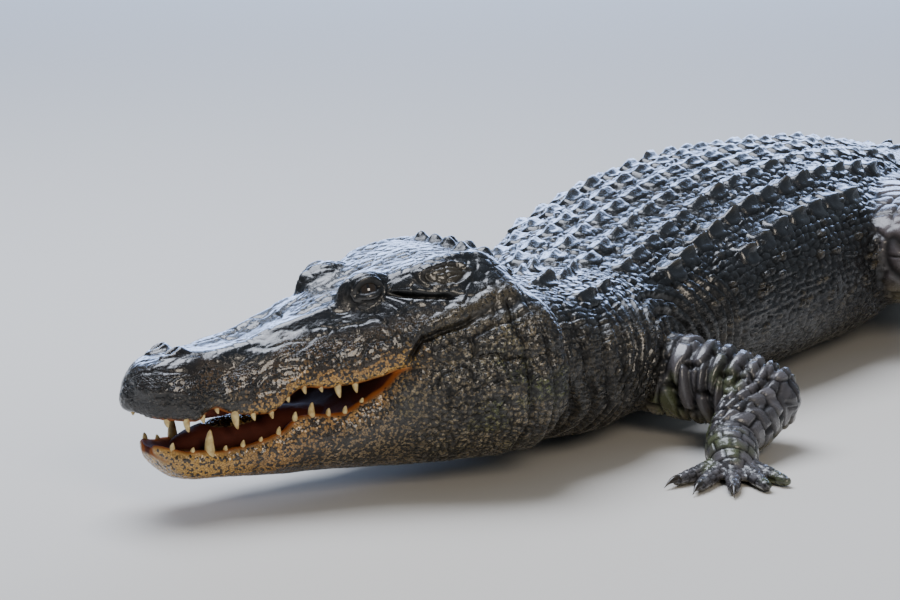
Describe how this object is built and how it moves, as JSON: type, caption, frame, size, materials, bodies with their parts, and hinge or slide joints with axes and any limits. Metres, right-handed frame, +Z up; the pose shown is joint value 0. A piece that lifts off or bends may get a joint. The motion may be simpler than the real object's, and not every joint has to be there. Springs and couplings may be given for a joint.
{
  "type": "american alligator model",
  "caption": "Life-size still model of a large male alligator lying with its belly on the ground, jaws slightly open and head turned to its right.",
  "frame": {"origin": "on the floor under the middle of the belly", "axes": "+X from the head towards the tail along the trunk, -Y to the animal's left, +Z up"},
  "size_m": [3.2868, 1.1592, 0.3085],
  "materials": {
    "skin_dark": "wet scaled hide, glossy",
    "lip_tan": "wet scaled hide, tan with dark specks",
    "skin_leg": "wet scaled hide",
    "skin_foot": "wet scaled hide",
    "eye": "clear and wet"
  },
  "bodies": {
    "root": {"head": "skin_dark", "lower_jaw": "lip_tan", "eye_left": "eye", "eye_right": "eye", "neck": "skin_dark", "torso": "skin_dark", "tail_base": "skin_dark", "tail_middle": "skin_dark", "tail_rear": "skin_dark", "tail_tip": "skin_dark", "fore_left_upper": "skin_leg", "fore_left_lower": "skin_leg", "fore_left_foot": "skin_foot", "fore_right_upper": "skin_leg", "fore_right_lower": "skin_leg", "fore_right_foot": "skin_foot", "hind_left_upper": "skin_leg", "hind_left_lower": "skin_leg", "hind_left_foot": "skin_foot", "hind_right_upper": "skin_leg", "hind_right_lower": "skin_leg", "hind_right_foot": "skin_foot"}
  },
  "joints": []
}
